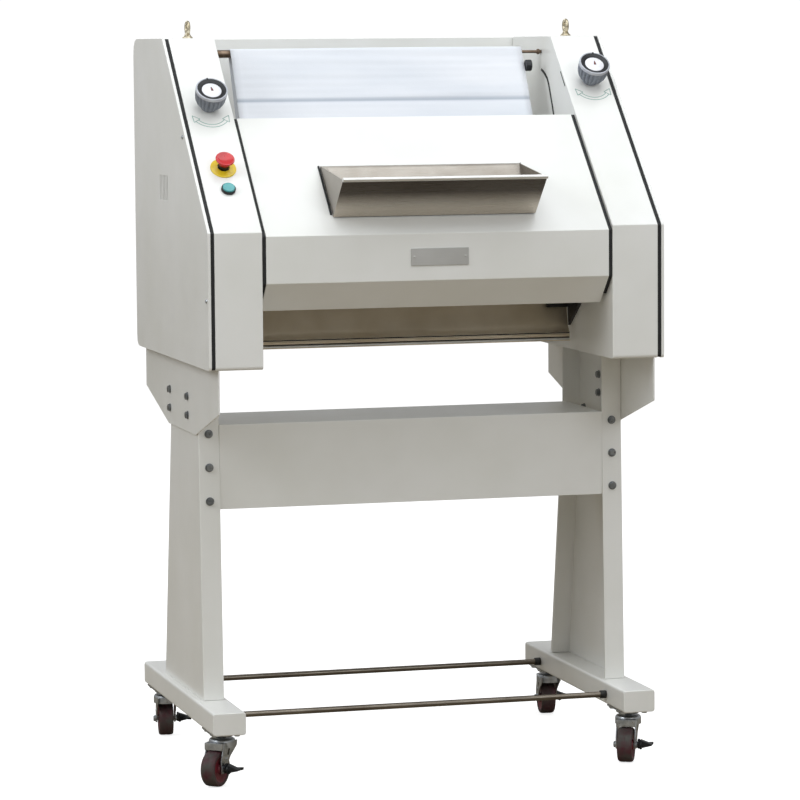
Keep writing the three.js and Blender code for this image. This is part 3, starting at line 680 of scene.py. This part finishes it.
for which in CASTERS:
    name = f"caster_{which}"
    swivel = Vector(JOINTS[f"{name}_swivel_turn"]["pos_m"])
    hub = Vector(JOINTS[f"{name}_wheel_spin"]["pos_m"])
    axle = Vector(JOINTS[f"{name}_wheel_spin"]["axis"])
    trail = (hub - swivel).to_2d().normalized().to_3d()
    standing = Matrix.Translation((swivel.x, swivel.y, 0))
    local = standing @ Matrix((trail, Vector((0, 0, 1)).cross(trail), (0, 0, 1))).transposed().to_4x4()
    brake_hand = -1 if "rear" in which else 1

    top = rounded(put(bmesh.new(), block((-33, -46, 110.7), (33, 46, 113.7))), 0.8)
    put(top, turned([(0, 110.9), (26.5, 110.9), (27, 108), (25.4, 103.4), (21, 101), (6, 101), (6, 98),
                     (0, 98)], 48))
    for x in (-24, 24):
        for y in (-36, 36):
            hex_head(top, (x, y, 110.8), (x, y, 105.8), 11, 8)
    top.transform(standing)
    piece(top, f"{name}_race", "machine", [zinc], [f"{name}_plate"])

    fork = turned([(7.4, 97), (24.6, 97), (27, 95), (28, 91), (28, 79), (26.4, 79), (26, 90), (7.4, 92),
                   (7.4, 97)], 48)
    put(fork, rounded(block((22, -21, 76.5), (38, 21, 92)), 1.2))
    put(fork, bar((30, -24, 37.5), (30, 24, 37.5), 4.1))
    for hand in (-1, 1):
        cheek = plate([(x, hand * 18.9, z) for x, z in CHEEK], (0, hand * 2.7, 0))
        put(fork, rounded(cheek, 0.7))
        far = 24.8 if hand == brake_hand else 27
        hex_head(fork, (30, hand * 21.4, 37.5), (30, hand * far, 37.5), 12, 8)
        put(fork, turned([(0, 0), (3.6, 0), (3.3, 1), (1.9, 1.7), (0, 1.9)], 24),
            facing(Vector((19, hand * 21.5, 58)) * MM, (0, hand, 0)))
        # The black discs on each cheek paint the shade inside its oblong hole.
        for x, z in ((9, 76), (11, 72), (13, 68)):
            put(fork, paint(bar((x, hand * 21.3, z), (x, hand * 21.8, z), 3.2), 1))
    fork.transform(local)
    piece(fork, f"{name}_fork_pressed", f"{name}_swivel", [zinc, black_steel], [f"{name}_fork"])

    wheel = turned([(4.4, -16), (9.5, -16), (10.5, -15), (11.5, -12.6), (22, -11.6), (26.5, -13.6),
                    (28.5, -14.6), (28.5, 14.6), (26.5, 13.6), (22, 11.6), (11.5, 12.6), (10.5, 15),
                    (9.5, 16), (4.4, 16), (4.4, -16)], 56)
    tread = turned([(28.4, -15), (31, -16), (34.6, -15.6), (36.7, -13.4), (37.4, -9), (37.5, -1.4), (36.9, 0),
                    (37.5, 1.4), (37.4, 9), (36.7, 13.4), (34.6, 15.6), (31, 16), (28.4, 15),
                    (28.4, -15)], 72)
    put(wheel, paint(tread, 1))
    wheel.transform(facing(hub, axle))
    piece(wheel, f"{name}_wheel_turned", f"{name}_wheel_unit",
          [wheel_maroon, tread_grey], [f"{name}_wheel"])

    pedal = rounded(copied(f"{name}_brake"), 0.8)
    wedge = plate([(20, brake_hand * y, z) for y, z in WEDGE], (15, 0, 0))
    knuckle = rounded(bar((30, brake_hand * 29, 37.5), (30, brake_hand * 34, 37.5), 10), 1.5)
    bolt = paint(rounded(bar((30, brake_hand * 33.8, 37.5), (30, brake_hand * 36, 37.5), 3.6), 0.8), 1)
    for part in (rounded(wedge, 1.6), knuckle, bolt):
        part.transform(local)
        put(pedal, part)
    piece(pedal, f"{name}_brake_pedal", f"{name}_brake_unit",
          [black_plastic, zinc], [f"{name}_brake"])
print("casters", len(CASTERS))

# %% [markdown]
# The endless felt belt runs over a large roller below and a thin bar above. It is drawn as a section
# of two spun points joined by straight runs, drawn out across the machine and divided finely. Then
# noise lays soft cross ripples on it, and one raised line marks where its ends are lapped. A small
# black hub stands at its right edge, just under the bar.

# %% Felt belt
BELT_LOW, BELT_LOW_R = Vector((0, -116.6, 1009.6)), 28.0
BELT_HIGH, BELT_HIGH_R = Vector((0, 145, 1516)), 11.5
BELT_HALF, LAP_HEIGHT = 328, 1.416
rise = (BELT_HIGH - BELT_LOW).normalized()
lean = math.acos((BELT_LOW_R - BELT_HIGH_R) / (BELT_HIGH - BELT_LOW).length)
section = bmesh.new()
arcs = []
for centre, radius, first, sweep in (
    (BELT_LOW, BELT_LOW_R, lean, math.tau - 2 * lean),
    (BELT_HIGH, BELT_HIGH_R, -lean, 2 * lean),
):
    ray = Matrix.Rotation(first, 3, "X") @ rise
    start = section.verts.new((centre + ray * radius) * MM)
    end = bmesh.ops.spin(section, geom=[start], cent=centre * MM, axis=(1, 0, 0),
                         angle=sweep, steps=28)["geom_last"]
    arcs.append((start, next(v for v in end if isinstance(v, bmesh.types.BMVert))))
runs = [section.edges.new((arcs[0][1], arcs[1][0])), section.edges.new((arcs[1][1], arcs[0][0]))]
bmesh.ops.subdivide_edges(section, edges=runs, cuts=130)
bmesh.ops.translate(section, vec=(-BELT_HALF * MM, 0, 0), verts=section.verts)
drawn = bmesh.ops.extrude_edge_only(section, edges=section.edges[:])["geom"]
shift(section, drawn, (2 * BELT_HALF, 0, 0))
across = [e for e in section.edges if abs(e.verts[0].co.x - e.verts[1].co.x) > 0.1]
bmesh.ops.subdivide_edges(section, edges=across, cuts=36, use_grid_fill=True)
cleaned(section)
section.normal_update()
lap_and_shade = section.verts.layers.float.new("lap_shade")
middle = (BELT_LOW + BELT_HIGH) / 2 * MM
if sum(v.normal.dot(v.co - middle) for v in section.verts) < 0:
    bmesh.ops.reverse_faces(section, faces=section.faces)
    section.normal_update()
moves = []
for point in section.verts:
    along = (point.co - middle).dot(rise) / MM
    front = point.normal.y < -0.5
    swell = noise.noise(Vector((point.co.x * 1.6, along * 0.034, 3.0 if front else 9.0)))
    crease = noise.noise(Vector((point.co.x * 2.6, along * 0.09, 5.0)))
    step = point.co.z - LAP_HEIGHT if front else 1.0
    raised = max(0.0, 1 - abs(step - 0.012) / 0.012)
    # This weight dips the belt at the lap and, through the felt, paints the shade under its step.
    point[lap_and_shade] = max(0.0, 1 - abs(step) / 0.0055)
    moves.append(point.normal * (1.7 * swell + 0.9 * crease + 0.9 * raised - 0.5 * point[lap_and_shade]) * MM)
for point, move in zip(section.verts, moves):
    point.co += move
hub_end = rounded(bar((329, 111, 1486), (342, 111, 1486), 12.5), 1.5)
piece(hub_end, "belt_guide_hub", "machine", [black_plastic])
belt = piece(section, "felt_belt_cloth", "machine", [felt], ["felt_belt"], 70)
belt.modifiers.remove(belt.modifiers["even_shading"])
wall = belt.modifiers.new("thickness", "SOLIDIFY")
wall.thickness = 2.4 * MM
wall.offset = -1
print("belt", len(belt.data.polygons), "faces")

# %% [markdown]
# Bolts hold the stand together, and small screws hold the covers. Each group is one piece, because
# its heads never part: hexagons on washers for the stand, domed heads with a recess for the covers.

# %% Bolts and screws
def screw(bm, at, way, radius=4.5):
    """A domed head with a hexagonal recess."""
    profile = [(1.9, 0.4), (1.9, 2.5), (2.4, 2.7), (3.4, 2.4), (4.3, 1.4), (4.5, 0.3), (4.5, 0), (0, 0),
               (0, 0.4), (1.9, 0.4)]
    shape = turned([(r * radius / 4.5, h * radius / 4.5) for r, h in profile], 24)
    put(bm, shape, facing(Vector(at) * MM, way))


for side, s in SIDES:
    stand = bmesh.new()
    for y in (-44, 133):
        for z in (757, 797):
            hex_head(stand, (s * 470.4, y, z), (s * 476.4, y, z), 13, 9)
    for z in (582, 653, 724):
        front = -129 - 20 * max(0, 720 - z) / 558
        hex_head(stand, (s * 445, front - 0.1, z), (s * 445, front - 6, z), 13, 9)
    for y, z in ((7, 811), (7, 771), (109, 729)):
        hex_head(stand, (s * 463, y, z), (s * 456, y, z), 13, 9)
    piece(stand, f"stand_bolts_{side}", "machine", [dull_zinc])
    cover = bmesh.new()
    for y, z in ((-118, 1345), (-329, 1016)):
        screw(cover, (s * 490.1, y, z), (s, 0, 0))
    piece(cover, f"cover_screws_{side}", "machine", [zinc])
rear = bmesh.new()
for x in (-350, -120, 120, 350):
    for z in (925, 1230, 1515):
        screw(rear, (x, 357.1, z), (0, 1, 0), 5)
piece(rear, "rear_cover_screws", "machine", [zinc])
rods = bmesh.new()
for y, z in ((-187, 136), (280, 134)):
    for s in (-1, 1):
        put(rods, rounded(bar((s * 411.6, y, z), (s * 398, y, z), 8.8), 1.2))
piece(rods, "tie_rod_collars", "machine", [black_steel])
print("bolts and screws ready")

# %% [markdown]
# The hopper stands on a thin black gasket that shows as a line beside each end, its front edge is
# rolled, with near-white steel that paints the highlight along it, and a plate closes the upper part of
# its throat. The hood's lower band carries a plain satin plate. A thin black strip lies on each inner
# wall beside the belt, and a short one on the right-hand wall, each drawn out from a path of points;
# they paint the shade inside a slot and a slit. Four beads run along the foot of the discharge plate:
# two black ones paint shade lines, a near-white one paints a highlight, and one is the plate's steel.

# %% Hopper trim, plate, slots and beads
HOOD_SLANT = math.atan2(236, 253)
HOOD_KNEE = Vector((0, -343, 1146))
HOPPER_LIP = (-393.4, 1260.6)


def on_hood(across, along, height):
    """A point on the hood's slope, in mm: so far up from its knee, and so far off the sheet."""
    away = Vector((0, -math.sin(HOOD_SLANT), math.cos(HOOD_SLANT))) * height
    up_slope = Vector((0, math.cos(HOOD_SLANT), math.sin(HOOD_SLANT))) * along
    return HOOD_KNEE + Vector((across, 0, 0)) + up_slope + away


def strip_between(low, high):
    """A flat strip of rubber on the hood, between two (across, along) corners."""
    ring = ((low[0], low[1]), (high[0], low[1]), (high[0], high[1]), (low[0], high[1]))
    corners = [on_hood(x, along, 0.2) for x, along in ring]
    return rounded(plate(corners, on_hood(0, 0, 2.9) - on_hood(0, 0, 0)), 0.6)


# The lip is a real rolled edge; its near-white steel paints the highlight along it.
lip = rounded(bar((-218.4, *HOPPER_LIP), (218.4, *HOPPER_LIP), 4.6), 0.8)
piece(lip, "hopper_lip", "hood_unit", [highlight_steel])
baffle = plate([on_hood(x, along, 5.5) for x, along in ((-203, 128), (203, 128), (203, 188), (-203, 188))],
               on_hood(0, 0, 1.2) - on_hood(0, 0, 0))
piece(rounded(baffle, 0.3), "hopper_baffle", "hood_unit", [tray_steel])
gasket = bmesh.new()
for low, high in (((-222, 58), (-218.3, 199)), ((218.3, 58), (220.4, 199))):
    put(gasket, strip_between(low, high))
piece(gasket, "hopper_gasket", "hood_unit", [black_rubber])

badge = rounded(block((-62, -345.2, 1080), (62, -343.2, 1116)), 0.5)
for x in (-55, 55):
    rivet = turned([(0, 0), (2.2, 0), (1.9, 0.8), (0, 1.2)], 20)
    put(badge, rivet, facing(Vector((x, -345.1, 1098)) * MM, (0, -1, 0)))
piece(badge, "blank_plate", "hood_unit", [satin])

SLOT_PATH = ((146, 1475), (131, 1470), (116, 1463), (103, 1455), (93, 1443), (85, 1429), (77, 1414),
             (68, 1398), (58, 1377), (30, 1323), (10, 1284))
SLIT_PATH = ((7, 1472), (-24, 1441))
WALL_FACE = 375.9
# Each black strip lies on the inner wall and paints the shade inside a slot; the short one, the shade inside
# a slit.
for side, s, line, breadth in (
    ("left", -1, SLOT_PATH, 7.5),
    ("right", 1, SLOT_PATH, 7.5),
    ("right_slit", 1, SLIT_PATH, 3.0),
):
    slot = bmesh.new()
    points = [slot.verts.new(Vector((s * WALL_FACE, y, z)) * MM) for y, z in line]
    path = [slot.edges.new(pair) for pair in zip(points, points[1:])]
    wide = bmesh.ops.extrude_edge_only(slot, edges=path)["geom"]
    shift(slot, wide, Vector((0, -0.82, 0.57)) * breadth)
    deep = bmesh.ops.extrude_face_region(slot, geom=slot.faces[:])["geom"]
    shift(slot, deep, (-s * 0.5, 0, 0))
    piece(cleaned(slot), f"wall_slot_shade_{side}", "machine", [black_rubber])
# Of the four beads, the two black ones paint shade lines along the hem, the near-white one paints a
# highlight, and one is the plate's own steel.
beads = bmesh.new()
for y, z, radius, number in (
    (-64.5, 910.0, 1.5, 1),
    (-64.8, 905.5, 1.9, 0),
    (-64.5, 900.6, 1.5, 1),
    (-65.4, 896.4, 2.6, 2),
):
    put(beads, paint(bar((-371, y, z), (371, y, z), radius), number))
piece(beads, "discharge_painted_light_beads", "machine", [reflection_tinted_steel, black_steel, highlight_steel])
print("gasket, plate, slots and beads ready")
